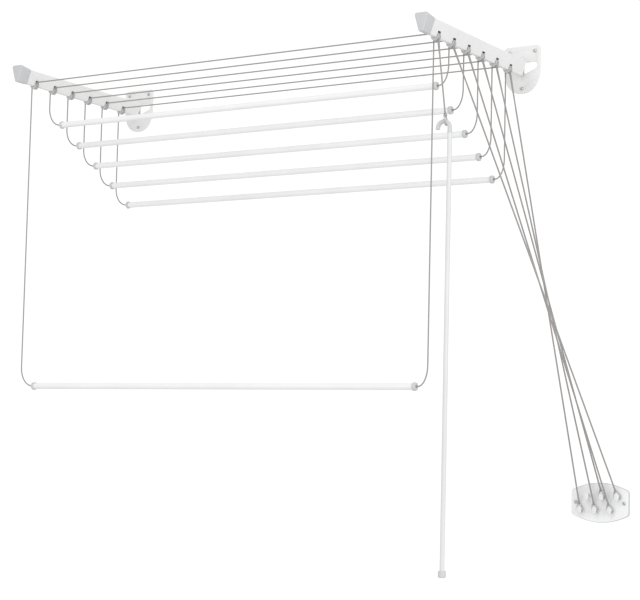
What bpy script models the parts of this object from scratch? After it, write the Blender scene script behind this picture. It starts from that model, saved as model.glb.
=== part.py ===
"""A pulley clothes airer: two slotted arms on wall brackets, six rods that rise and fall on cords,
a wall cleat for the cords' pull rings, and a hooked stick that hangs from the first ring.

Metres. +X runs along the rods, +Y points into the wall, +Z is up. The origin is on the wall's
face, midway between the arms, at the height of the sheaves' axes.
"""

import math

import bmesh
import bpy
from mathutils import Vector

MM = 0.001
GAP = 0.3 * MM  # left between neighbours that touch

RODS = 6
PITCH = 75 * MM  # from rod to rod, along the arms
FIRST_Y = -460 * MM  # the first rod's plane, furthest from the wall
ROD_LENGTH = 1200 * MM  # over both end caps
ROD_RADIUS = 8 * MM
TUBE_WALL = 1 * MM
LOWERED_ROD_Z = -829 * MM
RAISED_ROD_Z = -99 * MM  # the second rod; each one behind it hangs lower
RAISED_STEP = 46.5 * MM

ARM_X = 635 * MM
ARM_FRONT = FIRST_Y - 36 * MM
ARM_BACK = -14 * MM
ARM_LOW, ARM_HIGH = -3 * MM, 34.5 * MM
ARM_HALF_LOW, ARM_HALF_HIGH = 5.3 * MM, 18.5 * MM
ARM_CLIMB = 0.015  # the arms climb a little, away from the wall
ARM_WALL = 1.2 * MM
SLOT_HALF = 7 * MM
SLOT_LOW, SLOT_HIGH = -14 * MM, 11.5 * MM
CAP_LENGTH = 37 * MM
CAP_FLARE = 6.5 * MM  # how far the cap's top rises from the arm to its nose
SPIGOT_LENGTH = 14 * MM

AXLE_RADIUS = 1.5 * MM
SHEAVE_RADIUS = 11 * MM
SHEAVE_HALF = 5.75 * MM
GROOVE_ROOT = 4.9 * MM
GROOVE_Y = 2.6 * MM  # from the sheave's middle to each of its two grooves
WRAP_RADIUS = 7 * MM  # of the cord's centreline round a sheave
BEND_HEIGHT = 48 * MM  # of the cord's slack bend beyond each rod's end
FLANGE_CLEAR = 11 * MM  # below the axis, where the cord passes the flanges

CORD_RADIUS = 1.75 * MM
ROD_CAP_RADIUS = 10.3 * MM
ROD_CAP_LENGTH = 8 * MM
ROD_CAP_WALL = 3 * MM

PLATE = 3 * MM
BRACKET_HALF = 52 * MM
BRACKET_TOP, BRACKET_BOTTOM = 73 * MM, -52 * MM
BRACKET_SHOULDER = 12 * MM  # below this height the plate rounds off
BRACKET_HOLES = ((-36 * MM, 58 * MM), (36 * MM, 58 * MM), (0, -38.5 * MM))
WINDOW = (6 * MM, 43 * MM, -1 * MM, 29 * MM)  # low x, high x, low z, high z
TONGUE_REACH, TONGUE_LOW = 42 * MM, 9 * MM

CLEAT_X, CLEAT_Z = 867 * MM, -1096 * MM
CLEAT_HALF_WIDTH, CLEAT_HALF_HEIGHT = 76.5 * MM, 49 * MM
CLEAT_SIDE = 33 * MM  # half the height at the plate's sides
CLEAT_THICK = 7 * MM
CLEAT_HOLE_X = 64.5 * MM
UPPER_ROW, LOWER_ROW = 17 * MM, -17 * MM
# the cleat's hooks, first the free one of the first rod, then those of rods two to six
CLEAT_HOOKS = (
    (-30 * MM, UPPER_ROW),
    (50 * MM, UPPER_ROW),
    (31 * MM, LOWER_ROW),
    (10 * MM, UPPER_ROW),
    (-9 * MM, LOWER_ROW),
    (-49 * MM, LOWER_ROW),
)
HOOK_RADIUS = 5.5 * MM
HOOK_LIP = 6 * MM  # how far the hook's head reaches below its stem
HOOK_REACH, HOOK_HEAD = 18 * MM, 4 * MM

RING_WIRE = 1.75 * MM
RING_LOW, RING_HIGH = 8.5 * MM, 3.8 * MM  # centreline radii of the ring's two ends
RING_SPAN = 11.2 * MM  # between the two ends' centres
RING_OUT = 8.5 * MM  # from the cleat's face to a hooked ring's centre
TURN_RADIUS = 3.9 * MM  # of the cord's turn through the ring
PAIR_HALF = 2.1 * MM  # from the middle to each of the two strands above the ring
PAIR_RISE = 14 * MM

FREE_RING = Vector((666 * MM, FIRST_Y, -205 * MM))
STICK_X = FREE_RING.x + 11 * MM
STICK_ARCH = 16 * MM
STICK_WIRE = 5.3 * MM
STICK_TOP, STICK_BOTTOM = -232 * MM, -1266 * MM
STICK_RADIUS = 5.6 * MM
STICK_CAP_RADIUS, STICK_CAP_LENGTH = 9.4 * MM, 16 * MM

SHANK_RADIUS, HEAD_RADIUS = 2.2 * MM, 4.6 * MM
HEAD_HEIGHT = 2.6 * MM

ROUND = 16  # sides of a turned piece
SMOOTH_UNDER = math.radians(38)

COLOURS = {  # base colour, roughness, metallic
    "white_coat": ((0.86, 0.86, 0.85), 0.38, 0.0),
    "white_tube": ((0.88, 0.88, 0.86), 0.32, 0.0),
    "grey_plastic": ((0.55, 0.56, 0.56), 0.5, 0.0),
    "sheave_plastic": ((0.45, 0.46, 0.46), 0.45, 0.0),
    "cleat_plastic": ((0.78, 0.78, 0.78), 0.45, 0.0),
    "steel": ((0.6, 0.61, 0.62), 0.3, 1.0),
    "cord": ((0.38, 0.36, 0.35), 0.85, 0.0),
}


def rod_y(k):
    return FIRST_Y + k * PITCH


def rod_z(k):
    return LOWERED_ROD_Z if k == 0 else RAISED_ROD_Z - (k - 1) * RAISED_STEP


def climb(y):
    """How high the arm's axle stands at y: level with the origin midway along its six sheaves."""
    return ARM_CLIMB * (FIRST_Y + (RODS - 1) / 2 * PITCH - y)


def climbing(data):
    for vertex in data.vertices:
        vertex.co.z += climb(vertex.co.y)
    return data


def clear_scene():
    for old in list(bpy.context.scene.objects):
        bpy.data.objects.remove(old)


def material(name):
    made = bpy.data.materials.get(name) or bpy.data.materials.new(name)
    colour, roughness, metallic = COLOURS[name]
    made.use_nodes = True
    shader = made.node_tree.nodes["Principled BSDF"]
    shader.inputs["Base Color"].default_value = (*colour, 1)
    shader.inputs["Roughness"].default_value = roughness
    shader.inputs["Metallic"].default_value = metallic
    return made


def place(name, data, finish, at=(0, 0, 0)):
    obj = bpy.data.objects.new(name, data)
    obj.location = at
    data.materials.append(material(finish))
    bpy.context.scene.collection.objects.link(obj)
    return obj


def mesh_of(name, points, faces):
    """A mesh with its faces turned outwards and its round sides shaded smooth."""
    data = bpy.data.meshes.new(name)
    data.from_pydata([tuple(p) for p in points], [], faces)
    work = bmesh.new()
    work.from_mesh(data)
    bmesh.ops.recalc_face_normals(work, faces=work.faces)
    work.to_mesh(data)
    work.free()
    data.shade_smooth()
    data.set_sharp_from_angle(angle=SMOOTH_UNDER)
    return data


def bridged(name, loops, closed=False):
    """A mesh that joins each loop of points to the next: capped at both ends, or closed on itself."""
    count, sides = len(loops), len(loops[0])
    points = [p for loop in loops for p in loop]
    faces = []
    for i in range(count if closed else count - 1):
        j = (i + 1) % count
        for a in range(sides):
            b = (a + 1) % sides
            faces.append((i * sides + a, i * sides + b, j * sides + b, j * sides + a))
    if not closed:
        faces.append(tuple(range(sides)))
        faces.append(tuple(range((count - 1) * sides, count * sides)))
    return mesh_of(name, points, faces)


def prism(name, outline, low_y, high_y):
    """An outline in X and Z, drawn out along Y."""
    return bridged(name, [[(x, y, z) for x, z in outline] for y in (low_y, high_y)])


def turned(name, profile, axis="Y", sides=ROUND):
    """A closed profile of (radius, place along the axis), turned about Y, X or Z."""
    loops = []
    for i in range(sides):
        c, s = math.cos(math.tau * i / sides), math.sin(math.tau * i / sides)
        if axis == "Y":
            loops.append([(r * c, along, r * s) for r, along in profile])
        elif axis == "X":
            loops.append([(along, r * c, r * s) for r, along in profile])
        else:
            loops.append([(r * c, r * s, along) for r, along in profile])
    return bridged(name, loops, closed=True)


def rod_of(name, radius, low, high, axis="Y", sides=ROUND):
    """A plain round bar."""
    loops = []
    for along in (low, high):
        loop = []
        for i in range(sides):
            c, s = radius * math.cos(math.tau * i / sides), radius * math.sin(math.tau * i / sides)
            loop.append((c, along, s) if axis == "Y" else (c, s, along))
        loops.append(loop)
    return bridged(name, loops)


def wire(name, points, radius, finish, closed=False, resolution=2, swell=None):
    """A round wire through the points; swell scales its radius at each of them."""
    curve = bpy.data.curves.new(name, "CURVE")
    curve.dimensions = "3D"
    curve.bevel_depth = radius
    curve.bevel_resolution = resolution
    curve.use_fill_caps = True
    spline = curve.splines.new("POLY")
    spline.points.add(len(points) - 1)
    for i, p in enumerate(points):
        spline.points[i].co = (*p, 1)
        spline.points[i].radius = swell[i] if swell else 1
    spline.use_cyclic_u = closed
    return place(name, curve, finish)


def cut(obj, name, tool, operation="DIFFERENCE"):
    """A Boolean with a hidden tool, which is a mesh in the object's own place."""
    cutter = bpy.data.objects.new(name, tool)
    cutter.location = obj.location
    cutter.hide_render = True
    cutter.display_type = "WIRE"
    bpy.context.scene.collection.objects.link(cutter)
    step = obj.modifiers.new(name, "BOOLEAN")
    step.operation = operation
    step.object = cutter


def joined(name, meshes):
    """Several closed meshes as one cutter."""
    work = bmesh.new()
    for data in meshes:
        work.from_mesh(data)
    made = bpy.data.meshes.new(name)
    work.to_mesh(made)
    work.free()
    return made


def box(name, low, high):
    outline = [(low[0], low[2]), (high[0], low[2]), (high[0], high[2]), (low[0], high[2])]
    return prism(name, outline, low[1], high[1])


def arm_outline(inset=0.0, lift=0.0):
    """The arm's section, narrow at the bottom, with its walls moved in by inset and its top lifted."""
    slope = (ARM_HALF_HIGH - ARM_HALF_LOW) / (ARM_HIGH - ARM_LOW)
    across = inset * math.hypot(1, slope)
    outline = []
    for z in (ARM_LOW + inset, ARM_HIGH - inset):
        half = ARM_HALF_LOW + (z - ARM_LOW) * slope - across
        outline.append((half, z))
    (low, z0), (high, z1) = outline
    return [(-low, z0), (low, z0), (high, z1 + lift), (-high, z1 + lift)]


def arm(side, x):
    """A hollow section with a slot across its lower edge for each sheave."""
    walls = []
    for y, inset in ((ARM_FRONT, 0), (ARM_FRONT, ARM_WALL), (ARM_BACK, ARM_WALL), (ARM_BACK, 0)):
        walls.append([(px, y, pz) for px, pz in arm_outline(inset)])
    data = climbing(bridged(f"{side}_arm", walls, closed=True))
    body = place(f"{side}_arm", data, "white_coat", (x, 0, 0))
    slots = []
    for k in range(RODS):
        axis = climb(rod_y(k))
        low = (-ARM_HALF_HIGH, rod_y(k) - SLOT_HALF, axis + SLOT_LOW)
        high = (ARM_HALF_HIGH, rod_y(k) + SLOT_HALF, axis + SLOT_HIGH)
        slots.append(box("slot", low, high))
    cut(body, f"{side}_arm_slots", joined("slots", slots))


def arm_cap(side, x):
    """A moulded plug: a block that flares up to a chamfered nose, and a spigot inside the arm."""
    nose, proud = ARM_FRONT - GAP - CAP_LENGTH, -0.8 * MM
    steps = (
        (nose, 1.6 * MM, CAP_FLARE),
        (nose + 2.4 * MM, proud, CAP_FLARE),
        (ARM_FRONT - GAP, proud, 1 * MM),
        (ARM_FRONT - GAP, ARM_WALL + GAP, 0),
        (ARM_FRONT + SPIGOT_LENGTH, ARM_WALL + GAP, 0),
    )
    loops = [[(px, y, pz) for px, pz in arm_outline(inset, lift)] for y, inset, lift in steps]
    data = climbing(bridged(f"{side}_arm_cap", loops))
    body = place(f"{side}_arm_cap", data, "grey_plastic", (x, 0, 0))
    # the spigot stays clear of the axle, which rests in a blind hole
    hole = rod_of("hole", AXLE_RADIUS + 0.4 * MM, ARM_FRONT - 6 * MM, ARM_FRONT + 20 * MM)
    cut(body, f"{side}_cap_hole", climbing(hole))


def axle(side, x):
    low, high = ARM_FRONT - 5 * MM, ARM_BACK - 2 * MM
    data = climbing(rod_of("axle", AXLE_RADIUS, low, high, sides=12))
    place(f"{side}_axle", data, "steel", (x, 0, 0))


def sheave_mesh():
    """Two round grooves side by side between thin flanges."""
    half = [
        (SHEAVE_RADIUS, 0.4 * MM),
        (GROOVE_ROOT, GROOVE_Y - CORD_RADIUS),
        (GROOVE_ROOT, GROOVE_Y + CORD_RADIUS),
        (SHEAVE_RADIUS, SHEAVE_HALF - 0.9 * MM),
        (SHEAVE_RADIUS, SHEAVE_HALF),
        (AXLE_RADIUS + 0.4 * MM, SHEAVE_HALF),
    ]
    mirrored = [(r, -y) for r, y in reversed(half)]
    return turned("sheave", mirrored + half, sides=14)


def bracket_outline():
    """Square shoulders with rounded corners, and a round foot."""
    corner, steps = 11 * MM, 4
    right = []
    for i in range(steps + 1):
        turn = math.pi / 2 * (1 - i / steps)
        x = BRACKET_HALF - corner + corner * math.cos(turn)
        right.append((x, BRACKET_TOP - corner + corner * math.sin(turn)))
    for i in range(1, 8):
        turn = math.pi / 2 * i / 8
        x = BRACKET_HALF * math.cos(turn) ** 0.85
        right.append((x, BRACKET_SHOULDER - (BRACKET_SHOULDER - BRACKET_BOTTOM) * math.sin(turn)))
    return right + [(0, BRACKET_BOTTOM)] + [(-x, z) for x, z in reversed(right)]


def window_outline():
    """The hole that the tongue was folded out of: tall at the fold, round and low at its far end."""
    low_x, high_x, low_z, high_z = WINDOW
    radius = 0.3 * (high_z - low_z)
    outline = [(low_x, high_z), (low_x, low_z)]
    for i in range(9):
        turn = math.radians(-70 + 20 * i)
        x = high_x - radius + radius * math.cos(turn)
        outline.append((x, high_z - radius + radius * math.sin(turn)))
    return outline


def bracket(side, x):
    """A plate with a tongue folded out of its window and into the arm."""
    plate = prism(f"{side}_bracket", bracket_outline(), -PLATE, 0)
    body = place(f"{side}_bracket", plate, "white_coat", (x, 0, 0))
    low_x, _, _, high_z = WINDOW
    tools = [prism("window", window_outline(), -2 * PLATE, PLATE)]
    for hx, hz in BRACKET_HOLES:
        hole = rod_of("hole", SHANK_RADIUS + 0.5 * MM, -2 * PLATE, PLATE, sides=12)
        for vertex in hole.vertices:
            vertex.co += Vector((hx, 0, hz))
        tools.append(hole)
    cut(body, f"{side}_bracket_holes", joined("holes", tools))
    # the tongue overlaps the plate by its own thickness beside the window
    low = (low_x - PLATE, -TONGUE_REACH, TONGUE_LOW)
    tongue = box("tongue", low, (low_x, -PLATE / 2, high_z - 1 * MM))
    cut(body, f"{side}_bracket_tongue", tongue, "UNION")


def screw_mesh(front):
    """A pan-head screw along Y, from its head on a face at front to the wall's face."""
    top = front - GAP - HEAD_HEIGHT
    profile = [
        (HEAD_RADIUS - 1.5 * MM, top),
        (HEAD_RADIUS, front - GAP - 1 * MM),
        (HEAD_RADIUS, front - GAP),
        (SHANK_RADIUS, front - GAP),
        (SHANK_RADIUS, 0),
    ]
    loops = []
    for r, y in profile:
        loop = []
        for i in range(10):
            turn = math.tau * i / 10
            loop.append((r * math.cos(turn), y, r * math.sin(turn)))
        loops.append(loop)
    return bridged("screw", loops)


def rod(k):
    """The tube, and a cap over each end with a hole for the cord."""
    y, z, half = rod_y(k), rod_z(k), ROD_LENGTH / 2
    end = half - ROD_CAP_WALL - GAP
    inner = ROD_RADIUS - TUBE_WALL
    profile = [(ROD_RADIUS, -end), (ROD_RADIUS, end), (inner, end), (inner, -end)]
    place(f"rod_{k + 1}", turned("rod", profile, "X", 12), "white_tube", (0, y, z))
    for side, sign in (("left", -1), ("right", 1)):
        cap = [
            (2.5 * MM, 0),
            (ROD_CAP_RADIUS - 2 * MM, 0),
            (ROD_CAP_RADIUS, 2 * MM),
            (ROD_CAP_RADIUS, ROD_CAP_LENGTH),
            (ROD_RADIUS + GAP, ROD_CAP_LENGTH),
            (ROD_RADIUS + GAP, ROD_CAP_WALL),
            (2.5 * MM, ROD_CAP_WALL),
        ]
        profile = [(r, -sign * along) for r, along in cap]
        shape = turned("rod_cap", profile, "X", 12)
        place(f"rod_{k + 1}_{side}_cap", shape, "grey_plastic", (sign * half, y, z))


def stadium(low_z, high_z, radius, x, z, sides=6):
    """An upright outline with round ends, centred on x and z."""
    outline = []
    for i in range(sides + 1):
        turn = math.pi * i / sides
        outline.append((x + radius * math.cos(turn), z + high_z - radius + radius * math.sin(turn)))
    for i in range(sides + 1):
        turn = math.pi * (1 + i / sides)
        outline.append((x + radius * math.cos(turn), z + low_z + radius + radius * math.sin(turn)))
    return outline


def cleat():
    """A barrel-shaped plate with six hooks that the pull rings catch under."""
    right = [(CLEAT_HALF_WIDTH, 0)]
    right += [(CLEAT_HALF_WIDTH, 22 * MM), (CLEAT_HALF_WIDTH - 2 * MM, 28 * MM)]
    right += [(CLEAT_HALF_WIDTH - 7 * MM, CLEAT_SIDE - 1 * MM)]
    count = 7
    for i in range(count):
        x = (CLEAT_HALF_WIDTH - 14 * MM) * (1 - i / count)
        share = (x / CLEAT_HALF_WIDTH) ** 2
        right.append((x, CLEAT_HALF_HEIGHT - (CLEAT_HALF_HEIGHT - CLEAT_SIDE + 2 * MM) * share))
    quarter = [(0, CLEAT_HALF_HEIGHT)] + right[::-1]
    lower = [(x, -z) for x, z in right[1:]] + [(0, -CLEAT_HALF_HEIGHT)]
    half = quarter + lower
    outline = half + [(-x, z) for x, z in half[-2:0:-1]]
    loops = []
    for y, scale in ((0, 1), (-CLEAT_THICK + 2 * MM, 1), (-CLEAT_THICK, 0.965)):
        loops.append([(x * scale, y, z * scale) for x, z in outline])
    body = place("cleat_plate", bridged("cleat", loops), "cleat_plastic", (CLEAT_X, 0, CLEAT_Z))
    holes, stems, heads = [], [], []
    for side in (-1, 1):
        hole = rod_of("hole", SHANK_RADIUS + 0.5 * MM, -2 * CLEAT_THICK, CLEAT_THICK, sides=12)
        for vertex in hole.vertices:
            vertex.co.x += side * CLEAT_HOLE_X
        holes.append(hole)
    cut(body, "cleat_holes", joined("holes", holes))
    face, reach = -CLEAT_THICK, -CLEAT_THICK - HOOK_REACH
    for x, z in CLEAT_HOOKS:
        stem = stadium(-HOOK_RADIUS, HOOK_RADIUS + 1 * MM, HOOK_RADIUS, x, z)
        head = stadium(-HOOK_RADIUS - HOOK_LIP, HOOK_RADIUS + 2 * MM, HOOK_RADIUS + 0.5 * MM, x, z)
        stems.append(prism("stem", stem, face + 1 * MM, reach + HOOK_HEAD / 2))
        heads.append(prism("head", head, reach + HOOK_HEAD, reach))
    cut(body, "cleat_stems", joined("stems", stems), "UNION")
    cut(body, "cleat_heads", joined("heads", heads), "UNION")


def ring_frame(k):
    """The centre of a pull ring's wide end, its long axis, and the way that its plane faces."""
    sheave = Vector((ARM_X + WRAP_RADIUS, rod_y(k), climb(rod_y(k))))
    if k == 0:
        along = (sheave - FREE_RING).normalized()
        return FREE_RING, along, Vector((along.z, 0, -along.x))
    hook_x, hook_z = CLEAT_HOOKS[k]
    centre = Vector((CLEAT_X + hook_x, -CLEAT_THICK - RING_OUT, CLEAT_Z + hook_z))
    along = (sheave - centre).normalized()
    upright = math.hypot(along.x, along.z)
    centre += along * (RING_LOW - RING_WIRE - (HOOK_RADIUS + 2 * GAP) / upright)
    facing = (Vector((0, -1, 0)) + along * along.y).normalized()
    return centre, along, facing


def ring(k):
    """A drop-shaped ring: two round ends and their common tangents."""
    centre, along, facing = ring_frame(k)
    across = along.cross(facing)
    lean = math.asin((RING_LOW - RING_HIGH) / RING_SPAN)
    points = []
    for i in range(11):
        turn = lean - (math.pi + 2 * lean) * i / 10
        points.append((RING_LOW * math.cos(turn), RING_LOW * math.sin(turn)))
    for i in range(7):
        turn = math.pi - lean - (math.pi - 2 * lean) * i / 6
        points.append((RING_HIGH * math.cos(turn), RING_SPAN + RING_HIGH * math.sin(turn)))
    path = [centre + across * s + along * t for s, t in points]
    wire(f"pull_ring_{k + 1}", path, RING_WIRE, "grey_plastic", closed=True, resolution=1)


def drop(x_side, y, z, top):
    """From inside a rod's end, out of its cap, round a slack bend and up to a sheave."""
    end = math.copysign(ROD_LENGTH / 2, x_side)
    out = math.copysign(1, x_side)
    face = Vector((end, y, z))
    bend_height = BEND_HEIGHT
    width = abs(top.x - end) - 4 * MM
    points = [face - Vector((out * 12 * MM, 0, 0)), face + Vector((out * 1 * MM, 0, 0))]
    for i in range(7):
        turn = math.pi / 2 * i / 6
        side = end + out * (4 * MM + width * math.sin(turn))
        across = y + (top.y - y) * i / 6
        points.append(Vector((side, across, z + 0.6 * MM + bend_height * (1 - math.cos(turn)))))
    points[-1].x = top.x
    return points


def wrap(x, y, axis_z, start, stop, steps):
    """The cord round a sheave, by angle from +X towards +Z."""
    points = []
    for i in range(steps + 1):
        turn = math.radians(start + (stop - start) * i / steps)
        side, up = WRAP_RADIUS * math.cos(turn), WRAP_RADIUS * math.sin(turn)
        points.append(Vector((x + side, y, axis_z + up)))
    return points


def cord_route(k):
    """One cord: out of the rod's left end, over both sheaves, down through the pull ring and back
    up over the right sheave's other groove, to the rod's right end."""
    y, z = rod_y(k), rod_z(k)
    front, back = y - GROOVE_Y, y + GROOVE_Y
    left = drop(-ARM_X, y, z, Vector((-ARM_X - WRAP_RADIUS, front, 0)))
    right = drop(ARM_X, y, z, Vector((ARM_X - WRAP_RADIUS, back, 0)))
    over_left = wrap(-ARM_X, front, climb(y), 180, 90, 5)
    over_right = wrap(ARM_X, front, climb(y), 90, 0, 5)
    back_over = wrap(ARM_X, back, climb(y), 0, 180, 10)
    centre, along, facing = ring_frame(k)
    slack = TURN_RADIUS - RING_WIRE - CORD_RADIUS - GAP
    top = centre + along * (RING_SPAN + RING_HIGH + slack)
    turn = []
    for i in range(9):
        angle = math.pi * i / 8
        turn.append(top + TURN_RADIUS * (facing * math.cos(angle) - along * math.sin(angle)))
    pair = top + along * PAIR_RISE
    away = [pair + facing * PAIR_HALF, pair - facing * PAIR_HALF]
    # the cord leaves each groove straight down, then bends over the flange towards its hook
    clear = [over_right[-1] - Vector((0, 0, FLANGE_CLEAR)), back_over[0] - Vector((0, 0, FLANGE_CLEAR))]
    down = over_right + [clear[0], away[0]]
    return left + over_left + down + turn + [away[1], clear[1]] + back_over + right[::-1]


def stick():
    """The pull stick: a tube, the hook plugged into its top, and a rounded foot."""
    at = (STICK_X, FIRST_Y, 0)
    inner = STICK_RADIUS - TUBE_WALL
    low, high = STICK_BOTTOM, STICK_TOP
    profile = [(STICK_RADIUS, high), (STICK_RADIUS, low), (inner, low), (inner, high)]
    place("stick_pole", turned("pole", profile, "Z", 14), "white_tube", at)
    # the crook's arch bears on the lowest point of the ring
    ring_centre, along, _ = ring_frame(0)
    bearing = ring_centre - along * RING_LOW
    inside = STICK_ARCH - STICK_WIRE - RING_WIRE - GAP
    centre = Vector((STICK_X - STICK_ARCH, FIRST_Y, bearing.z))
    centre.z -= math.sqrt(inside**2 - (bearing.x - centre.x) ** 2)
    plug = inner - 0.4 * MM
    path = [Vector((STICK_X, FIRST_Y, STICK_TOP - 22 * MM)), Vector((STICK_X, FIRST_Y, STICK_TOP))]
    size = [plug / STICK_WIRE, plug / STICK_WIRE]
    path += [Vector((STICK_X, FIRST_Y, STICK_TOP + GAP)), Vector((STICK_X, FIRST_Y, centre.z - 6 * MM))]
    size += [STICK_RADIUS / STICK_WIRE, 1.15]
    for i in range(13):
        turn = math.pi * i / 12
        offset = Vector((math.cos(turn), 0, math.sin(turn))) * STICK_ARCH
        path.append(centre + offset)
        size.append(1)
    tip = path[-1]
    path += [tip - Vector((0, 0, 1.5 * MM)), tip - Vector((0, 0, 4 * MM))]
    size += [0.95, 0.6]
    wire("stick_hook", path, STICK_WIRE, "grey_plastic", swell=size)
    foot, top = STICK_BOTTOM - ROD_CAP_WALL, STICK_BOTTOM + STICK_CAP_LENGTH - ROD_CAP_WALL
    cap = [
        (0.5 * MM, foot),
        (STICK_CAP_RADIUS - 2.5 * MM, foot + 0.3 * MM),
        (STICK_CAP_RADIUS, foot + 2.5 * MM),
        (STICK_CAP_RADIUS, top - 2.5 * MM),
        (STICK_CAP_RADIUS - 2.5 * MM, top),
        (STICK_RADIUS + GAP, top),
        (STICK_RADIUS + GAP, STICK_BOTTOM - GAP),
        (0.5 * MM, STICK_BOTTOM - GAP),
    ]
    place("stick_foot", turned("foot", cap, "Z", 16), "grey_plastic", at)


def main():
    clear_scene()
    sheave = sheave_mesh()
    bracket_screw = screw_mesh(-PLATE)
    for side, x in (("left", -ARM_X), ("right", ARM_X)):
        arm(side, x)
        arm_cap(side, x)
        axle(side, x)
        bracket(side, x)
        for i, (hole_x, hole_z) in enumerate(BRACKET_HOLES):
            place(f"{side}_bracket_screw_{i + 1}", bracket_screw, "steel", (x + hole_x, 0, hole_z))
        for k in range(RODS):
            at = (x, rod_y(k), climb(rod_y(k)))
            place(f"{side}_sheave_{k + 1}", sheave, "sheave_plastic", at)
    cleat()
    for k in range(RODS):
        rod(k)
        ring(k)
        wire(f"cord_{k + 1}", cord_route(k), CORD_RADIUS, "cord")
    stick()


main()
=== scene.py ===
"""The looks of a pulley clothes airer: fine surfaces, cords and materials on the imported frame.

Metres. +X runs along the rods, +Y points into the wall, +Z is up.
"""

import math

import bmesh
import bpy
from mathutils import Matrix, Vector


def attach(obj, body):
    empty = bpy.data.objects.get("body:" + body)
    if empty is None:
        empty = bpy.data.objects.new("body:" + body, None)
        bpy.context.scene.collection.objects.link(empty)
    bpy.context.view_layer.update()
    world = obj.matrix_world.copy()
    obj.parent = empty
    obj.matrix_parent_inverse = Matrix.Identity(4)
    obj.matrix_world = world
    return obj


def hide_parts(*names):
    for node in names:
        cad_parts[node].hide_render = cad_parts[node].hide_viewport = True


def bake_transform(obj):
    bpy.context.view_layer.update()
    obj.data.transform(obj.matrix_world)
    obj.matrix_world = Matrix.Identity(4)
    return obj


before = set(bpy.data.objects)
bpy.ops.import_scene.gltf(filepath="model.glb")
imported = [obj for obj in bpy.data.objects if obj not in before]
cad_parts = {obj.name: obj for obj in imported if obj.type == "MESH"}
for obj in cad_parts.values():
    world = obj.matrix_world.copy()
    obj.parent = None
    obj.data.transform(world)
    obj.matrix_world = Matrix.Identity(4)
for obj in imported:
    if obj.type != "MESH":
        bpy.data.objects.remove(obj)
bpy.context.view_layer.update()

MM = 0.001
GAP = 0.3 * MM
RODS = 6
PITCH = 75 * MM
FIRST_Y = -460 * MM
ARM_X = 635 * MM
ROD_HALF = 600 * MM

WRAP_RADIUS = 7 * MM
GROOVE_Y = 2.6 * MM
FLANGE_CLEAR = 11 * MM
BEND_HEIGHT = 48 * MM
CORD_RADIUS = 1.75 * MM

RING_WIRE = 1.75 * MM
RING_LOW, RING_HIGH, RING_SPAN = 8.5 * MM, 3.8 * MM, 11.2 * MM
SLEEVE_RISE = 8 * MM

CLEAT_X, CLEAT_Z, CLEAT_THICK = 867 * MM, -1096 * MM, 7 * MM
UPPER_ROW, LOWER_ROW = 17 * MM, -17 * MM
CLEAT_HOOKS = (
    (-30 * MM, UPPER_ROW),
    (50 * MM, UPPER_ROW),
    (31 * MM, LOWER_ROW),
    (10 * MM, UPPER_ROW),
    (-9 * MM, LOWER_ROW),
    (-49 * MM, LOWER_ROW),
)
HOOK_RADIUS = 5.5 * MM
CLEAT_HOLE = 64.5 * MM
PLATE_HOLES = ((-36 * MM, 58 * MM), (36 * MM, 58 * MM), (0, -38.5 * MM))
PLATE_THICK = 3 * MM
HOLE_RADIUS = 2.7 * MM
ARM_FRONT, ARM_BACK = -496 * MM, -14 * MM
ARM_LOW, ARM_HIGH, ARM_HALF_LOW = -3, 34.5, 5.3
ARM_SLOPE = 13.2 / 37.5
STICK_TOP, STICK_BOTTOM, STICK_RADIUS = -232 * MM, -1266 * MM, 5.6 * MM
FREE_RING = Vector((666 * MM, FIRST_Y, -205 * MM))
STICK_X = FREE_RING.x + 11 * MM


def rod_y(k):
    return FIRST_Y + k * PITCH


def rod_z(k):
    return -829 * MM if k == 0 else -99 * MM - (k - 1) * 46.5 * MM


def climb(y):
    """How high the sheaves' axle stands at y, as the arms climb away from the wall."""
    return 0.015 * (FIRST_Y + 2.5 * PITCH - y)


# ---------------------------------------------------------------- camera


def aim(yaw, pitch, roll):
    """A camera turned from +Y by yaw to the left, up by pitch, and then rolled."""
    right = Vector((math.cos(yaw), math.sin(yaw), 0))
    level = Vector((-math.sin(yaw), math.cos(yaw), 0))
    ahead = level * math.cos(pitch) + Vector((0, 0, math.sin(pitch)))
    up = right.cross(ahead)
    turned_right = right * math.cos(roll) + up * math.sin(roll)
    turned_up = up * math.cos(roll) - right * math.sin(roll)
    return Matrix((turned_right, turned_up, -ahead)).transposed(), ahead


camera = bpy.data.objects.new("camera", bpy.data.cameras.new("camera"))
bpy.context.scene.collection.objects.link(camera)
turn, AHEAD = aim(0.5774, 0.0831, 0.0238)
camera.matrix_world = Matrix.Translation((2.6556, -4.0386, -0.9736)) @ turn.to_4x4()
camera.data.lens = 98.72
camera.data.sensor_width = 36
camera.data.clip_end = 60
bpy.context.scene.camera = camera

# a pull run's two strands lie just clear of each other, one behind the other
STRAND_OFFSET = Vector((AHEAD.x, AHEAD.y, 0)).normalized() * -CORD_RADIUS * 1.02


# ---------------------------------------------------------------- materials


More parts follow.
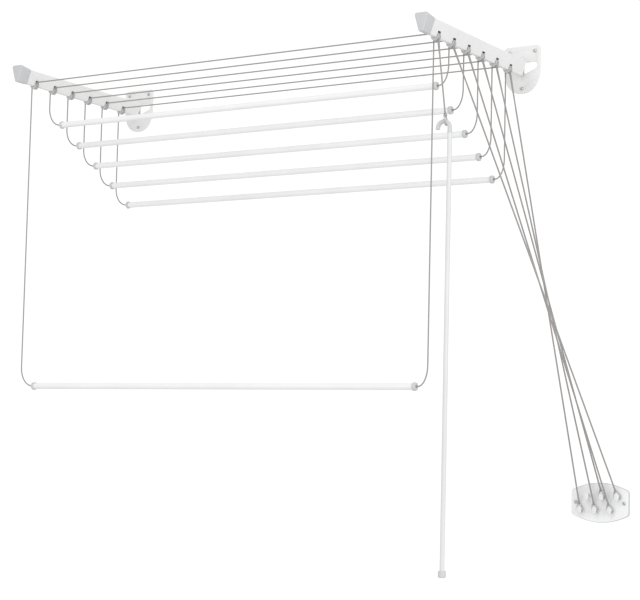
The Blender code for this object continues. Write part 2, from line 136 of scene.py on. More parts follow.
class Shader:
    """A material's Principled shader, and the nodes that feed it."""

    def __init__(self, name, roughness, metallic=0.0, **constants):
        self.material = bpy.data.materials.new(name)
        self.material.use_nodes = True
        self.tree = self.material.node_tree
        self.shader = self.tree.nodes["Principled BSDF"]
        self.shader.inputs["Roughness"].default_value = roughness
        self.shader.inputs["Metallic"].default_value = metallic
        for socket, value in constants.items():
            self.shader.inputs[socket.replace("_", " ")].default_value = value
        self.where = self.tree.nodes.new("ShaderNodeTexCoord")

    def put(self, value, socket):
        if isinstance(value, (int, float)):
            socket.default_value = value
        else:
            self.tree.links.new(value, socket)

    def math(self, operation, a, b=0.0, c=0.0):
        node = self.tree.nodes.new("ShaderNodeMath")
        node.operation = operation
        for value, socket in zip((a, b, c), node.inputs):
            self.put(value, socket)
        return node.outputs[0]

    def stretched(self, scale):
        node = self.tree.nodes.new("ShaderNodeMapping")
        node.inputs["Scale"].default_value = scale
        self.tree.links.new(self.where.outputs["Object"], node.inputs["Vector"])
        return node.outputs[0]

    def noise(self, scale, detail=3.0, rough=0.55, stretch=(1, 1, 1)):
        node = self.tree.nodes.new("ShaderNodeTexNoise")
        node.inputs["Scale"].default_value = scale
        node.inputs["Detail"].default_value = detail
        node.inputs["Roughness"].default_value = rough
        self.tree.links.new(self.stretched(stretch), node.inputs["Vector"])
        return node.outputs["Fac"]

    def ramp(self, factor, low, high, start=0.3, end=0.7):
        """A colour between low and high as the factor goes from start to end."""
        node = self.tree.nodes.new("ShaderNodeValToRGB")
        node.color_ramp.elements[0].position = start
        node.color_ramp.elements[1].position = end
        node.color_ramp.elements[0].color = (*low, 1)
        node.color_ramp.elements[1].color = (*high, 1)
        self.tree.links.new(factor, node.inputs["Fac"])
        return node.outputs["Color"]

    def colour(self, value):
        self.tree.links.new(value, self.shader.inputs["Base Color"])

    def roughness(self, factor, low, high):
        node = self.tree.nodes.new("ShaderNodeMapRange")
        node.inputs["To Min"].default_value = low
        node.inputs["To Max"].default_value = high
        self.tree.links.new(factor, node.inputs["Value"])
        self.tree.links.new(node.outputs[0], self.shader.inputs["Roughness"])

    def bump(self, height, distance, strength=1.0):
        node = self.tree.nodes.new("ShaderNodeBump")
        node.inputs["Distance"].default_value = distance
        node.inputs["Strength"].default_value = strength
        self.tree.links.new(height, node.inputs["Height"])
        self.tree.links.new(node.outputs["Normal"], self.shader.inputs["Normal"])


def shade(value, tint=(1, 1, 1)):
    return tuple(value * t for t in tint)


def coat(name, value, tint, roughness, grain, depth, streak=(1, 1, 1)):
    """A painted or moulded surface: faint blotches, a varying sheen and a fine grain."""
    made = Shader(name, roughness, Coat_Weight=0.08, Coat_Roughness=0.3)
    blotches = made.noise(7, 4, 0.6)
    made.colour(made.ramp(blotches, shade(value * 0.965, tint), shade(value * 1.02, tint)))
    fine = made.noise(grain, 3, 0.6, streak)
    made.roughness(made.noise(60, 4, 0.6, streak), roughness - 0.07, roughness + 0.09)
    made.bump(fine, depth, 0.5)
    return made.material


def braid_material():
    """A cord of two crossing sets of strands, from the tube's own coordinates."""
    made = Shader("braided_cord", 0.86, Sheen_Weight=0.25, Sheen_Roughness=0.5)
    split = made.tree.nodes.new("ShaderNodeSeparateXYZ")
    made.tree.links.new(made.where.outputs["UV"], split.inputs[0])
    around = made.math("MULTIPLY", split.outputs[0], 4 * math.tau)
    along = made.math("MULTIPLY", split.outputs[1], math.tau / 0.0075)
    one = made.math("SINE", made.math("ADD", around, along))
    other = made.math("SINE", made.math("SUBTRACT", around, along))
    strands = made.math("MULTIPLY_ADD", made.math("MAXIMUM", one, other), 0.5, 0.5)
    fuzz = made.noise(2600, 2, 0.6)
    height = made.math("MULTIPLY_ADD", fuzz, 0.35, strands)
    made.colour(made.ramp(height, (0.258, 0.245, 0.236), (0.385, 0.367, 0.356), 0.35, 1.15))
    made.bump(height, 0.35 * MM, 0.8)
    return made.material


def steel_material():
    made = Shader("zinc_plated_steel", 0.3, 1.0)
    scratches = made.noise(900, 4, 0.7, (1, 0.2, 1))
    made.colour(made.ramp(made.noise(160, 3), (0.5, 0.51, 0.53), (0.68, 0.69, 0.7)))
    made.roughness(scratches, 0.22, 0.42)
    made.bump(scratches, 0.03 * MM, 0.4)
    return made.material


def floor_material():
    made = Shader("pale_floor", 0.8)
    made.colour(made.ramp(made.noise(1.5, 4), (0.8, 0.8, 0.795), (0.84, 0.84, 0.835)))
    made.bump(made.noise(300, 3), 0.2 * MM, 0.2)
    return made.material


WHITE_COAT = coat("white_coat_fine", 0.85, (1, 0.992, 0.984), 0.42, 1500, 0.04 * MM)
WHITE_TUBE = coat("white_tube_fine", 0.92, (1, 0.998, 0.99), 0.34, 900, 0.012 * MM)
POLE = coat("white_pole_fine", 0.75, (1, 1, 0.998), 0.34, 900, 0.012 * MM)
GREY = coat("grey_plastic_fine", 0.63, (0.99, 1, 1), 0.5, 2200, 0.06 * MM)
CAP_GREY = coat("arm_cap_grey_fine", 0.6, (0.99, 1, 1.005), 0.46, 2200, 0.06 * MM)
SHEAVE = coat("sheave_plastic_fine", 0.6, (0.99, 1, 1), 0.42, 2000, 0.04 * MM)
# a darker copy of the sheave plastic for the rims and grooves: painted shade
SHEAVE_RIM_PAINTED_SHADE = coat("sheave_rim_painted_shade", 0.3, (0.99, 1, 1), 0.5, 2000, 0.04 * MM)
RING = coat("ring_plastic_fine", 0.5, (1, 0.99, 0.98), 0.45, 2200, 0.05 * MM)
CLEAT = coat("cleat_plastic_fine", 0.92, (1, 1, 1), 0.45, 1900, 0.06 * MM)
# a darker copy of the cleat plastic for the hooks, painted shade that keeps their lit heads from looking
# brighter than the plate
CLEAT_HOOK = coat("cleat_hook_painted_shade", 0.8, (1, 1, 1), 0.45, 1900, 0.06 * MM)
# a darker copy of the cleat plastic for the rim's edge faces: painted shade
CLEAT_EDGE_PAINTED_SHADE = coat("cleat_edge_painted_shade", 0.62, (1, 1, 1), 0.45, 1900, 0.06 * MM)
CORD = braid_material()
STEEL = steel_material()
# a near-black material for the disc behind each cap's hole: painted shadow
SOCKET_PAINTED_SHADOW = coat("painted_socket_shadow", 0.06, (1, 0.98, 0.97), 0.7, 1200, 0.05 * MM)
CRIMP = coat("crimp_fine", 0.36, (1, 0.96, 0.93), 0.6, 1800, 0.05 * MM)


# ---------------------------------------------------------------- mesh tools


def finished(name, data, material, sharp=35):
    """Links a mesh as an object, with its faces turned outwards and its rounds smooth."""
    work = bmesh.new()
    work.from_mesh(data)
    bmesh.ops.recalc_face_normals(work, faces=work.faces)
    work.to_mesh(data)
    work.free()
    data.shade_smooth()
    data.set_sharp_from_angle(angle=math.radians(sharp))
    data.materials.clear()
    data.materials.append(material)
    obj = bpy.data.objects.new(name, data)
    bpy.context.scene.collection.objects.link(obj)
    return obj


def bridged(name, loops, closed=False):
    """Quads from each loop of points to the next, with flat ends unless the last meets the first."""
    count, sides = len(loops), len(loops[0])
    faces = []
    for i in range(count if closed else count - 1):
        j = (i + 1) % count
        for a in range(sides):
            b = (a + 1) % sides
            faces.append((i * sides + a, i * sides + b, j * sides + b, j * sides + a))
    if not closed:
        faces.append(tuple(range(sides)))
        faces.append(tuple(range((count - 1) * sides, count * sides)))
    data = bpy.data.meshes.new(name)
    data.from_pydata([tuple(p) for loop in loops for p in loop], [], faces)
    return data


def turned(name, profile, axis, at, sides=48):
    """A closed profile of (radius, place along the axis), turned about X, Y or Z through at."""
    at = Vector(at)
    loops = []
    for i in range(sides):
        c, s = math.cos(math.tau * i / sides), math.sin(math.tau * i / sides)
        spots = {
            "X": lambda r, d: Vector((d, r * c, r * s)),
            "Y": lambda r, d: Vector((r * c, d, r * s)),
            "Z": lambda r, d: Vector((r * c, r * s, d)),
        }
        loops.append([at + spots[axis](r, d) for r, d in profile])
    return bridged(name, loops, closed=True)


def prism(name, outline, low_y, high_y):
    return bridged(name, [[(x, y, z) for x, z in outline] for y in (low_y, high_y)])


def applied(obj):
    """Replaces an object's mesh with what its modifiers make of it."""
    graph = bpy.context.evaluated_depsgraph_get()
    made = bpy.data.meshes.new_from_object(obj.evaluated_get(graph))
    obj.modifiers.clear()
    obj.data = made
    return obj


def carve(obj, tool, operation="DIFFERENCE"):
    """Cuts a mesh from the object, or joins it, and leaves no modifier behind."""
    work = bmesh.new()
    work.from_mesh(tool)
    bmesh.ops.recalc_face_normals(work, faces=work.faces)
    work.to_mesh(tool)
    work.free()
    cutter = bpy.data.objects.new("cutter", tool)
    bpy.context.scene.collection.objects.link(cutter)
    step = obj.modifiers.new("step", "BOOLEAN")
    step.operation = operation
    step.object = cutter
    applied(obj)
    bpy.data.objects.remove(cutter)
    return obj


def joined(name, meshes):
    work = bmesh.new()
    for data in meshes:
        work.from_mesh(data)
    made = bpy.data.meshes.new(name)
    work.to_mesh(made)
    work.free()
    return made


def softened(obj, width, segments=2, limit=50):
    """Rounds the object's sharp edges, and applies it."""
    bevel = obj.modifiers.new("edges", "BEVEL")
    bevel.width = width
    bevel.segments = segments
    bevel.limit_method = "ANGLE"
    bevel.angle_limit = math.radians(limit)
    bevel.harden_normals = False
    applied(obj)
    obj.data.shade_smooth()
    obj.data.set_sharp_from_angle(angle=math.radians(40))
    return obj


def rounded(corners, radii, steps=6):
    """An outline of (x, z) corners, each rounded by an arc of its own radius."""
    outline = []
    count = len(corners)
    for i in range(count):
        here = Vector(corners[i])
        back = (Vector(corners[i - 1]) - here).normalized()
        ahead = (Vector(corners[(i + 1) % count]) - here).normalized()
        half = math.acos(max(-1, min(1, back.dot(ahead)))) / 2
        radius = radii[i]
        centre = here + (back + ahead).normalized() * radius / math.sin(half)
        start = here + back * radius / math.tan(half) - centre
        end = here + ahead * radius / math.tan(half) - centre
        sweep = math.pi - 2 * half
        sign = 1 if start.x * end.y - start.y * end.x > 0 else -1
        for j in range(steps + 1):
            turn = sign * sweep * j / steps
            c, s = math.cos(turn), math.sin(turn)
            outline.append(
                (centre.x + start.x * c - start.y * s, centre.y + start.x * s + start.y * c)
            )
    return outline


def swept(name, path, radius, sides=12, closed=False, swell=None):
    """A round tube along the path, without twist; its second coordinate is the path's length."""
    points = [Vector(p) for p in path]
    count = len(points)
    tangents = []
    for i in range(count):
        a = points[i - 1] if closed or i else points[0]
        b = points[(i + 1) % count] if closed or i < count - 1 else points[-1]
        tangents.append((b - a).normalized())
    side = tangents[0].orthogonal().normalized()
    loops, run, runs = [], 0.0, []
    for i in range(count):
        side = (side - tangents[i] * side.dot(tangents[i])).normalized()
        other = tangents[i].cross(side)
        if i:
            run += (points[i] - points[i - 1]).length
        runs.append(run)
        size = radius * (swell[i] if swell else 1)
        loop = []
        for j in range(sides):
            turn = math.tau * j / sides
            loop.append(points[i] + (side * math.cos(turn) + other * math.sin(turn)) * size)
        loops.append(loop)
    data = bridged(name, loops, closed)
    layer = data.uv_layers.new(name="along")
    for face in data.polygons:
        if len(face.vertices) != 4:
            continue
        for corner in face.loop_indices:
            vertex = data.loops[corner].vertex_index
            ring, spoke = divmod(vertex, sides)
            wraps = spoke == 0 and any(v % sides == sides - 1 for v in face.vertices)
            layer.data[corner].uv = ((sides if wraps else spoke) / sides, runs[ring])
    return data


def paint_shade_on_sides(obj, material, limit):
    """Gives the faces that turn away from the Y axis a material of their own: a darker copy, painted
    shade on the sides.
    """
    obj.data.materials.append(material)
    for face in obj.data.polygons:
        if abs(face.normal.y) < limit:
            face.material_index = 1


def length_of(path):
    return sum((Vector(b) - Vector(a)).length for a, b in zip(path, path[1:]))


def between(a, b, step):
    """The points that divide the way from a to b into steps, with neither end."""
    count = max(1, round((b - a).length / step))
    return [a.lerp(b, i / count) for i in range(1, count)]


# ---------------------------------------------------------------- cords


def wrap(x, y, axis_z, start, stop, steps):
    """The cord round a sheave, by angle from +X towards +Z."""
    points = []
    for i in range(steps + 1):
        turn = math.radians(start + (stop - start) * i / steps)
        side, up = WRAP_RADIUS * math.cos(turn), WRAP_RADIUS * math.sin(turn)
        points.append(Vector((x + side, y, axis_z + up)))
    return points


def drop(x_side, k, top):
    """From inside a rod's end, out of its cap, round a slack bend and up to a sheave."""
    y, z = rod_y(k), rod_z(k)
    out = math.copysign(1, x_side)
    end = out * ROD_HALF
    width = abs(top.x - end) - 4 * MM
    points = [Vector((end - out * d, y, z)) for d in (12 * MM, 5 * MM, -1 * MM)]
    for i in range(15):
        turn = math.pi / 2 * i / 14
        side = end + out * (4 * MM + width * math.sin(turn))
        across = y + (top.y - y) * i / 14
        points.append(Vector((side, across, z + 0.6 * MM + BEND_HEIGHT * (1 - math.cos(turn)))))
    points[-1].x = top.x
    bend_top = points[-1].copy()
    return points + between(points[-1], top, 7 * MM), bend_top


def ring_frame(k):
    """The centre of a pull ring's wide end, its long axis, and the way that its plane faces."""
    sheave = Vector((ARM_X + WRAP_RADIUS, rod_y(k), climb(rod_y(k))))
    if k == 0:
        along = (sheave - FREE_RING).normalized()
        return FREE_RING, along, Vector((along.z, 0, -along.x))
    hook_x, hook_z = CLEAT_HOOKS[k]
    centre = Vector((CLEAT_X + hook_x, -CLEAT_THICK - 8.5 * MM, CLEAT_Z + hook_z))
    along = (sheave - centre).normalized()
    upright = math.hypot(along.x, along.z)
    centre += along * (RING_LOW - RING_WIRE - (HOOK_RADIUS + 2 * GAP) / upright)
    return centre, along, (Vector((0, -1, 0)) + along * along.y).normalized()


LENGTHS = {}


def cord_piece(name, k, path):
    """One stretch of a cord, which pays out between the frame and the body that pulls it."""
    piece = finished(name, swept(name, path, CORD_RADIUS), CORD, 60)
    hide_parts(f"cord_{k + 1}")
    long = length_of(path)
    LENGTHS.setdefault(k + 1, []).append(round(long, 3))
    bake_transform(piece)


def cords(k):
    """Each rod's cord: a drop with its span, the other drop, and the pull run's two strands."""
    y = rod_y(k)
    axis_z = climb(y)
    front, back = y - GROOVE_Y, y + GROOVE_Y
    down = Vector((0, 0, FLANGE_CLEAR))

    left_top = Vector((-ARM_X - WRAP_RADIUS, front, axis_z))
    left, left_bend = drop(-1, k, left_top)
    over_left = wrap(-ARM_X, front, axis_z, 180, 90, 8)
    over_right = wrap(ARM_X, front, axis_z, 90, 0, 8)
    span = between(over_left[-1], over_right[0], 60 * MM)
    route = left + over_left + span + over_right + [over_right[-1] - down]
    cord_piece(f"cord_{k + 1}_left_run", k, route)

    right_top = Vector((ARM_X - WRAP_RADIUS, back, axis_z))
    right, right_bend = drop(1, k, right_top)
    over_back = wrap(ARM_X, back, axis_z, 180, 0, 16)
    route = right + over_back + [over_back[-1] - down]
    cord_piece(f"cord_{k + 1}_right_run", k, route)

    centre, along, _ = ring_frame(k)
    sleeve = centre + along * (RING_SPAN + RING_HIGH + SLEEVE_RISE)
    side = STRAND_OFFSET
    for word, groove, sign in (("front", front, 1), ("back", back, -1)):
        top = Vector((ARM_X + WRAP_RADIUS, groove, axis_z - FLANGE_CLEAR))
        foot = sleeve + side * sign - along * 1 * MM
        near = Vector((top.x, y, top.z)).lerp(sleeve, 0.09 if k else 0.3) + side * sign
        route = [top, *between(top, near, 14 * MM), near, *between(near, foot, 30 * MM), foot]
        cord_piece(f"cord_{k + 1}_pull_{word}", k, route)


# the cords hang free, so they come before the pieces that they run through
for k in range(RODS):
    cords(k)


# ---------------------------------------------------------------- pieces


def keep(obj, body, slot, *nodes):
    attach(obj, body)
    if nodes:
        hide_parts(*nodes)
    return obj


def ring_and_sleeve(k):
    """The drop-shaped ring, the cord's eye through it, and the crimp that holds the eye closed."""
    centre, along, facing = ring_frame(k)
    across = along.cross(facing)
    lean = math.asin((RING_LOW - RING_HIGH) / RING_SPAN)
    spots = []
    for i in range(29):
        turn = lean - (math.pi + 2 * lean) * i / 28
        spots.append((RING_LOW * math.cos(turn), RING_LOW * math.sin(turn)))
    for i in range(17):
        turn = math.pi - lean - (math.pi - 2 * lean) * i / 16
        spots.append((RING_HIGH * math.cos(turn), RING_SPAN + RING_HIGH * math.sin(turn)))
    path = [centre + across * s + along * t for s, t in spots]
    name, body = f"pull_ring_{k + 1}", f"ring_{k + 1}_body"
    ring = finished(name + "_fine", swept(name, path, RING_WIRE, 14, closed=True), RING, 60)
    keep(ring, body, "grey_plastic", name)

    side = STRAND_OFFSET - along * STRAND_OFFSET.dot(along)
    low = centre + along * (RING_SPAN + RING_HIGH)
    sleeve = low + along * SLEEVE_RISE
    bight = 3.5 * MM
    eye = [sleeve + side]
    for i in range(11):
        turn = math.pi * i / 10
        offset = facing * math.cos(turn) - along * math.sin(turn)
        eye.append(low + offset * bight + along * 0.4 * MM)
    eye.append(sleeve - side)
    made = swept(name, eye, CORD_RADIUS * 0.94, 12)
    keep(finished(name + "_eye", made, CORD, 60), body, "cord")

    wide, thick = side.normalized(), along.cross(side).normalized()
    loops = []
    half = ((0.7, 0.9), (1.1, 1), (2.1, 1), (2.5, 0.8))
    for rise, grow in [(-rise, grow) for rise, grow in reversed(half)] + list(half):
        loop = []
        for i in range(24):
            turn = math.tau * i / 24
            spot = wide * math.cos(turn) * 3.9 * MM + thick * math.sin(turn) * 2.2 * MM
            loop.append(sleeve + along * rise * MM + spot * grow)
        loops.append(loop)
    sleeve_mesh = bridged(name, loops)
    keep(finished(name + "_crimp", sleeve_mesh, CRIMP, 50), body, "grey_plastic")


def rod(k):
    """The enamelled tube and a turned cap on each end."""
    y, z = rod_y(k), rod_z(k)
    body = f"rod_{k + 1}_body"
    end = ROD_HALF - 3 * MM - GAP
    profile = [(8 * MM, -end), (8 * MM, end), (7 * MM, end), (7 * MM, -end)]
    tube = finished(f"rod_{k + 1}_tube", turned("rod", profile, "X", (0, y, z), 40), WHITE_TUBE, 30)
    keep(tube, body, "white_tube", f"rod_{k + 1}")
    big, length = 10.3, 8
    for side, sign in (("left", -1), ("right", 1)):
        shape = [(3.0, 3.2), (3.0, 0.9), (3.3, 0.25), (3.8, 0.0), (big - 2.6, 0.0)]
        for i in range(1, 6):
            turn = math.pi / 2 * i / 5
            shape.append((big - 2.4 + 2.4 * math.sin(turn), 2.4 - 2.4 * math.cos(turn)))
        shape += [(big, length - 2.6), (big - 0.35, length - 2.3), (big - 0.35, length - 1.9)]
        shape += [(big, length - 1.6), (big - 0.1, length - 0.4), (big - 0.5, length)]
        shape += [(8.3, length), (8.3, 3.2)]
        profile = [(r * MM, sign * (ROD_HALF - d * MM)) for r, d in shape]
        mesh = turned("cap", profile, "X", (0, y, z), 40)
        node = f"rod_{k + 1}_{side}_cap"
        keep(finished(node + "_fine", mesh, GREY, 40), body, "grey_plastic", node)
        # a near-black disc inside the cap, behind the hole: painted shadow for the socket's hollow
        inner = [(0.2, 3.4), (6.6, 3.4), (6.6, 4.2), (0.2, 4.2)]
        profile = [(r * MM, sign * (ROD_HALF - d * MM)) for r, d in inner]
        mesh = turned("socket", profile, "X", (0, y, z), 24)
        keep(finished(node + "_socket", mesh, SOCKET_PAINTED_SHADOW, 40), body, "grey_plastic")


def sheave(side, k):
    """Two round grooves between rounded flanges, and a stepped hub."""
    x, y = ARM_X if side == "right" else -ARM_X, rod_y(k)
    half = [(0.0, 10.7), (0.25, 11.0), (0.5, 10.7)]
    for i in range(9):
        turn = math.pi * i / 8
        half.append((2.6 - 2.0 * math.cos(turn), 6.9 - 1.9 * math.sin(turn)))
    half += [(4.95, 10.6), (5.1, 10.9), (5.3, 11.0), (5.55, 10.9), (5.75, 10.5)]
    half += [(5.75, 8.9), (5.25, 8.5), (5.25, 4.6), (5.75, 4.2), (5.75, 2.0)]
    profile = [(r * MM, -d * MM) for d, r in reversed(half[1:])]
    profile += [(r * MM, d * MM) for d, r in half]
    mesh = turned("sheave", profile, "Y", (x, y, climb(y)), 56)
    node = f"{side}_sheave_{k + 1}"
    wheel = finished(node + "_fine", mesh, SHEAVE, 40)
    # the rims and grooves, which face away from Y, take the darker copy of the sheave plastic: painted
    # shade
    paint_shade_on_sides(wheel, SHEAVE_RIM_PAINTED_SHADE, 0.6)
    keep(wheel, node + "_body", "sheave_plastic", node)


def arm_outline(inset, low_radius, high_radius, lift=0.0, steps=5):
    """The arm's section, in millimetres: narrow at the bottom, its walls moved in and its top lifted."""
    across = inset * math.hypot(1, ARM_SLOPE)
    low, high = ARM_LOW + inset, ARM_HIGH - inset
    bottom = ARM_HALF_LOW + (low - ARM_LOW) * ARM_SLOPE - across
    top = ARM_HALF_LOW + (high - ARM_LOW) * ARM_SLOPE - across
    corners = [(-bottom, low), (bottom, low), (top, high + lift), (-top, high + lift)]
    return rounded(corners, (low_radius, low_radius, high_radius, high_radius), steps)


def placed(outline, x, y):
    return [(x + px * MM, y, pz * MM + climb(y)) for px, pz in outline]


def arm(side, x):
    """The folded arm with its slots, and the moulded cap on its front end."""
    outer, inner = arm_outline(0, 1.6, 2.2), arm_outline(1.2, 0.5, 1.1)
    ends = ((outer, ARM_FRONT), (inner, ARM_FRONT), (inner, ARM_BACK), (outer, ARM_BACK))
    loops = [placed(outline, x, y) for outline, y in ends]
    body = finished(f"{side}_arm_fine", bridged("arm", loops, closed=True), WHITE_COAT, 30)
    tools = []
    for k in range(RODS):
        y, axis_z = rod_y(k) / MM, climb(rod_y(k)) / MM
        near, far, low, high = y - 7, y + 7, axis_z - 9, axis_z + 11.5
        corners = [(near, low), (far, low), (far, high), (near, high)]
        outline = rounded(corners, (0.4, 0.4, 1.2, 1.2), 4)
        sides = [[(x + sx * MM, py * MM, pz * MM) for py, pz in outline] for sx in (-20, 20)]
        tools.append(bridged("slot", sides))
    carve(body, joined("slots", tools))
    body.data.shade_smooth()
    body.data.set_sharp_from_angle(angle=math.radians(32))
    keep(body, "frame", "white_coat", f"{side}_arm")

    start = ARM_FRONT - GAP
    nose = start - 37 * MM
    loops = [placed(arm_outline(1.5, 0.5, 1.0), x, start + 10 * MM)]
    loops.append(placed(arm_outline(1.5, 0.5, 1.0), x, start))
    loops.append(placed(arm_outline(0.2, 1.8, 2.6, 0.6), x, start))
    loops.append(placed(arm_outline(-0.55, 2.4, 4.4, 1.0), x, start - 0.4 * MM))
    loops.append(placed(arm_outline(-0.8, 2.6, 5.0, 1.3), x, start - 1.2 * MM))
    for i in range(6):
        turn = math.pi / 2 * i / 5
        inset = -0.8 + 2.4 * (1 - math.cos(turn))
        y = nose + 2.4 * MM * (1 - math.sin(turn))
        loops.append(placed(arm_outline(inset, 2.6 - inset * 0.4, 5.0 - inset * 0.3, 6.5), x, y))
    cap = finished(f"{side}_arm_cap_fine", bridged("cap", loops), CAP_GREY, 40)
    keep(cap, "frame", "grey_plastic", f"{side}_arm_cap")


def bracket_outline(steps=10):
    half, top, bottom, corner, shoulder = 52, 73, -52, 11, 12
    right = []
    for i in range(steps + 1):
        turn = math.pi / 2 * (1 - i / steps)
        c, s = math.cos(turn), math.sin(turn)
        right.append((half - corner + corner * c, top - corner + corner * s))
    for i in range(1, 24):
        turn = math.pi / 2 * i / 24
        c, s = math.cos(turn), math.sin(turn)
        right.append((half * c**0.85, shoulder - (shoulder - bottom) * s))
    outline = right + [(0, bottom)] + [(-x, z) for x, z in reversed(right)]
    return [(x * MM, z * MM) for x, z in outline]


def disc(x, z, radius, low_y, high_y, sides=28):
    outline = []
    for i in range(sides):
        turn = math.tau * i / sides
        outline.append((x + radius * math.cos(turn), z + radius * math.sin(turn)))
    return prism("disc", outline, low_y, high_y)


def bracket(side, x):
    """The wall plate, with its screw holes, its window and the tongue that was folded out of it."""
    plate = prism("plate", [(x + px, pz) for px, pz in bracket_outline()], -PLATE_THICK, 0)
    body = finished(f"{side}_bracket_fine", plate, WHITE_COAT, 30)
    window = [(6.0, 29.0), (6.0, -1.0)]
    for i in range(17):
        turn = math.radians(-70 + 10 * i)
        window.append((34 + 9 * math.cos(turn), 20 + 9 * math.sin(turn)))
    tools = [prism("window", [(x + px * MM, pz * MM) for px, pz in window], -8 * MM, 4 * MM)]
    for hx, hz in PLATE_HOLES:
        tools.append(disc(x + hx, hz, HOLE_RADIUS, -8 * MM, 4 * MM))
    carve(body, joined("holes", tools))
    corners = [(3, 9), (6, 9), (6, 28), (3, 28)]
    tongue = prism("tongue", [(x + px * MM, pz * MM) for px, pz in corners], -42 * MM, -1.5 * MM)
    carve(body, tongue, "UNION")
    softened(body, 0.45 * MM, 2, 60)
    keep(body, "frame", "white_coat", f"{side}_bracket")


def screw_mesh():
    """A pan head with a cross recess, and its shank as far as the wall."""
    profile = [(0.05, -2.6), (1.6, -2.6), (3.0, -2.35), (3.9, -1.85), (4.45, -1.1), (4.6, -0.5)]
    profile += [(4.5, -0.05), (4.3, 0.0), (2.2, 0.0), (2.2, 2.9), (0.05, 2.9)]
    head = turned("screw", [(r * MM, d * MM) for r, d in profile], "Y", (0, 0, 0), 32)
    obj = finished("screw", head, STEEL, 30)
    arms = []
    for w, h in ((0.42, 2.1), (2.1, 0.42)):
        corners = [(-w * MM, -h * MM), (w * MM, -h * MM), (w * MM, h * MM), (-w * MM, h * MM)]
        arms.append(prism("slot", corners, -4 * MM, -1.2 * MM))
    for data in arms:
        carve(obj, data)
    obj.data.shade_smooth()
    obj.data.set_sharp_from_angle(angle=math.radians(30))
    data = obj.data
    bpy.data.objects.remove(obj)
    return data


def screw(name, data, x, z, face, turn, *nodes):
    obj = bpy.data.objects.new(name, data.copy())
    obj.data.transform(Matrix.Translation((x, -face - GAP, z)) @ Matrix.Rotation(turn, 4, "Y"))
    bpy.context.scene.collection.objects.link(obj)
    keep(obj, "frame", "steel", *nodes)


def cleat_outline():
    """Straight sides, small round corners, and a top and a bottom that bow out."""
    right = [(76.5, 0)]
    for i in range(10):
        turn = math.radians(66) * i / 9
        right.append((67.5 + 9 * math.cos(turn), 24 + 9 * math.sin(turn)))
    edge, corner_z = right[-1]
    bow = (49 - corner_z) / edge**2
    for i in range(1, 24):
        x = edge * (1 - i / 24)
        right.append((x, 49 - bow * x**2))
    quarter = [(0, 49)] + right[::-1]
    lower = [(x, -z) for x, z in right[1:]] + [(0, -49)]
    half = quarter + lower
    return half + [(-x, z) for x, z in half[-2:0:-1]]


def cleat():
    """The barrel-shaped plate with its soft rim, and the six hooks."""
    outline = cleat_outline()
    loops = []
    steps = [(0.0, 0.0), (-5.0, 0.0)]
    for i in range(1, 6):
        turn = math.pi / 2 * i / 5
        steps.append((-5.0 - 2.0 * math.sin(turn), 2.0 * (1 - math.cos(turn))))
    for y, inset in steps:
        loop = []
        for x, z in outline:
            px, pz = x * (1 - inset / 76.5), z * (1 - inset / 49)
            loop.append((CLEAT_X + px * MM, y * MM, CLEAT_Z + pz * MM))
        loops.append(loop)
    plate = finished("cleat_plate_fine", bridged("cleat", loops), CLEAT, 25)
    tools = []
    for sign in (-1, 1):
        tools.append(disc(CLEAT_X + sign * CLEAT_HOLE, CLEAT_Z, HOLE_RADIUS, -12 * MM, 4 * MM))
    carve(plate, joined("holes", tools))
    plate.data.shade_smooth()
    plate.data.set_sharp_from_angle(angle=math.radians(30))
    # the rim's edge faces take the darker copy of the cleat plastic: painted shade
    paint_shade_on_sides(plate, CLEAT_EDGE_PAINTED_SHADE, 0.93)
    keep(plate, "frame", "cleat_plastic", "cleat_plate")
    for n, (hx, hz) in enumerate(CLEAT_HOOKS):
        x, z = CLEAT_X + hx, CLEAT_Z + hz
        stem = stadium(x, z, -5.5, 6.5, 5.5)
        mesh = prism("stem", stem, -6.5 * MM, -23 * MM)
        # the hooks take the darker copy of the cleat plastic: painted shade
        body = finished(f"cleat_hook_{n + 1}", mesh, CLEAT_HOOK, 30)
        head = []
        for y, low, high, radius in (
            (-21.0, -10.6, 6.6, 5.2),
            (-21.3, -11.2, 7.2, 5.8),
            (-22.0, -11.5, 7.5, 6.0),
            (-23.8, -11.5, 7.3, 6.0),
            (-24.6, -11.1, 6.6, 5.7),
            (-25.0, -10.2, 5.4, 5.0),
        ):
            head.append([(px, y * MM, pz) for px, pz in stadium(x, z, low, high, radius)])
        carve(body, bridged("head", head), "UNION")
        body.data.shade_smooth()
        body.data.set_sharp_from_angle(angle=math.radians(35))
        keep(body, "frame", "cleat_plastic")


def stadium(x, z, low, high, radius, steps=12):
    """An upright outline with round ends about x and z, from sizes in millimetres."""
    outline = []
    for first, centre in ((0, high - radius), (1, low + radius)):
        for i in range(steps + 1):
            turn = math.pi * (first + i / steps)
            px, pz = radius * math.cos(turn), centre + radius * math.sin(turn)
            outline.append((x + px * MM, z + pz * MM))
    return outline


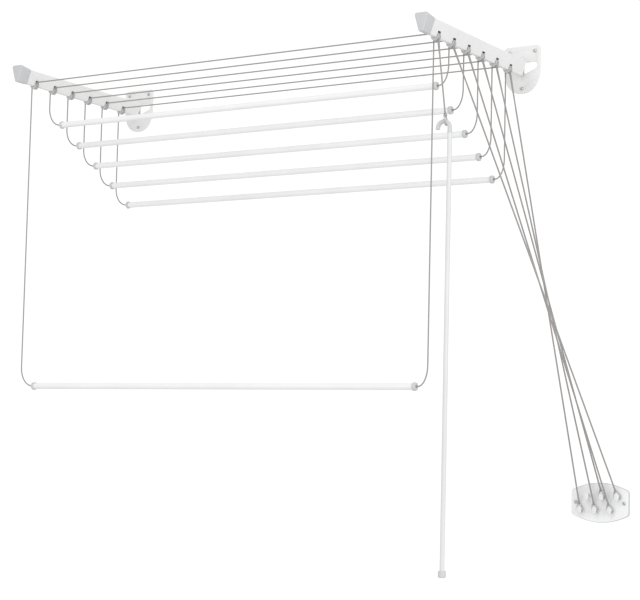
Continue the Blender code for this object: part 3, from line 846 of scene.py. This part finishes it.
def stick():
    """The pole, the crook plugged into its top and the rounded foot."""
    top, bottom, radius = STICK_TOP, STICK_BOTTOM, STICK_RADIUS
    at = (STICK_X, FIRST_Y, 0)
    profile = [(radius, top), (radius, bottom), (radius - 1 * MM, bottom), (radius - 1 * MM, top)]
    pole = finished("stick_pole_fine", turned("pole", profile, "Z", at, 40), POLE, 30)
    keep(pole, "stick_body", "white_tube", "stick_pole")

    arch, wire = 16 * MM, 5.3 * MM
    ring_centre, along, _ = ring_frame(0)
    bearing = ring_centre - along * RING_LOW
    inside = arch - wire - RING_WIRE - GAP
    centre = Vector((STICK_X - arch, FIRST_Y, bearing.z))
    centre.z -= math.sqrt(inside**2 - (bearing.x - centre.x) ** 2)
    path, size = [], []
    for rise, thick in ((-22 * MM, 4.2), (-0.1 * MM, 4.2), (GAP, 5.5), (1 * MM, 5.6)):
        path.append(Vector((STICK_X, FIRST_Y, top + rise)))
        size.append(thick * MM / wire)
    path.append(Vector((STICK_X, FIRST_Y, centre.z - 5 * MM)))
    size.append(1.04)
    for i in range(25):
        turn = math.pi * i / 24
        path.append(centre + Vector((math.cos(turn), 0, math.sin(turn))) * arch)
        size.append(1)
    tip = path[-1]
    for i in range(1, 7):
        turn = math.pi / 2 * i / 6
        path.append(tip - Vector((0, 0, 0.4 * MM + 3.4 * MM * math.sin(turn))))
        size.append(max(0.12, math.cos(turn)))
    hook = finished("stick_hook_fine", swept("hook", path, wire, 28, swell=size), GREY, 50)
    keep(hook, "stick_body", "grey_plastic", "stick_hook")

    low, high, wide = bottom - 3 * MM, bottom + 13 * MM, 9.4 * MM
    shape = [(0.3 * MM, low)]
    for i in range(7):
        turn = math.pi / 2 * i / 6
        c, s = math.cos(turn), math.sin(turn)
        shape.append((wide - 3.4 * MM * (1 - s), low + 3.4 * MM * (1 - c)))
    for i in range(7):
        turn = math.pi / 2 * i / 6
        c, s = math.cos(turn), math.sin(turn)
        shape.append((wide - 2.6 * MM * (1 - c), high - 2.6 * MM * (1 - s)))
    shape += [(radius + GAP, high), (radius + GAP, bottom - GAP), (0.3 * MM, bottom - GAP)]
    foot = finished("stick_foot_fine", turned("foot", shape, "Z", at, 44), GREY, 40)
    keep(foot, "stick_body", "grey_plastic", "stick_foot")


for side, x in (("left", -ARM_X), ("right", ARM_X)):
    arm(side, x)
    bracket(side, x)
    for k in range(RODS):
        sheave(side, k)
screw_data = screw_mesh()
for side, x in (("left", -ARM_X), ("right", ARM_X)):
    for i, (hx, hz) in enumerate(PLATE_HOLES):
        node = f"{side}_bracket_screw_{i + 1}"
        screw(node + "_fine", screw_data, x + hx, hz, PLATE_THICK, 0.5 + 0.9 * i, node)
cleat()
for i, sign in enumerate((-1, 1)):
    at = CLEAT_X + sign * CLEAT_HOLE
    screw(f"cleat_screw_{i + 1}", screw_data, at, CLEAT_Z, CLEAT_THICK, 0.3 + i)
for k in range(RODS):
    rod(k)
    ring_and_sleeve(k)
stick()
for side in ("left", "right"):
    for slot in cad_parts[f"{side}_axle"].material_slots:
        slot.material = STEEL


# ---------------------------------------------------------------- floor and light


def floor():
    outline = []
    for i in range(96):
        turn = math.tau * i / 96
        outline.append((3.4 * math.cos(turn), -0.3 + 3.4 * math.sin(turn), -2.2))
    data = bpy.data.meshes.new("floor")
    data.from_pydata(outline, [], [tuple(range(96))])
    data.materials.append(floor_material())
    obj = bpy.data.objects.new("floor", data)
    bpy.context.scene.collection.objects.link(obj)


def area_light(name, at, target, size, power):
    data = bpy.data.lights.new(name, "AREA")
    data.energy = power
    data.size = size
    obj = bpy.data.objects.new(name, data)
    obj.location = at
    obj.rotation_euler = (Vector(target) - Vector(at)).to_track_quat("-Z", "Y").to_euler()
    bpy.context.scene.collection.objects.link(obj)


def studio():
    """A white surround that lights softly, and a key and a fill from the front."""
    world = bpy.data.worlds.new("studio")
    world.use_nodes = True
    bpy.context.scene.world = world
    tree = world.node_tree
    seen = tree.nodes["Background"]
    seen.inputs["Color"].default_value = (1, 1, 1, 1)
    seen.inputs["Strength"].default_value = 1.05
    soft = tree.nodes.new("ShaderNodeBackground")
    soft.inputs["Color"].default_value = (0.985, 0.99, 1, 1)
    soft.inputs["Strength"].default_value = 0.8
    ray = tree.nodes.new("ShaderNodeLightPath")
    mix = tree.nodes.new("ShaderNodeMixShader")
    tree.links.new(ray.outputs["Is Camera Ray"], mix.inputs["Fac"])
    tree.links.new(soft.outputs[0], mix.inputs[1])
    tree.links.new(seen.outputs[0], mix.inputs[2])
    tree.links.new(mix.outputs[0], tree.nodes["World Output"].inputs["Surface"])
    area_light("key", (0.6, -4.6, 1.6), (0.2, -0.2, -0.5), 2.6, 38)
    area_light("fill", (6.5, -3.0, 0.6), (0.2, -0.2, -0.4), 4.0, 118)


floor()
studio()
bpy.context.scene.view_settings.view_transform = "Standard"

print("cord lengths", LENGTHS)
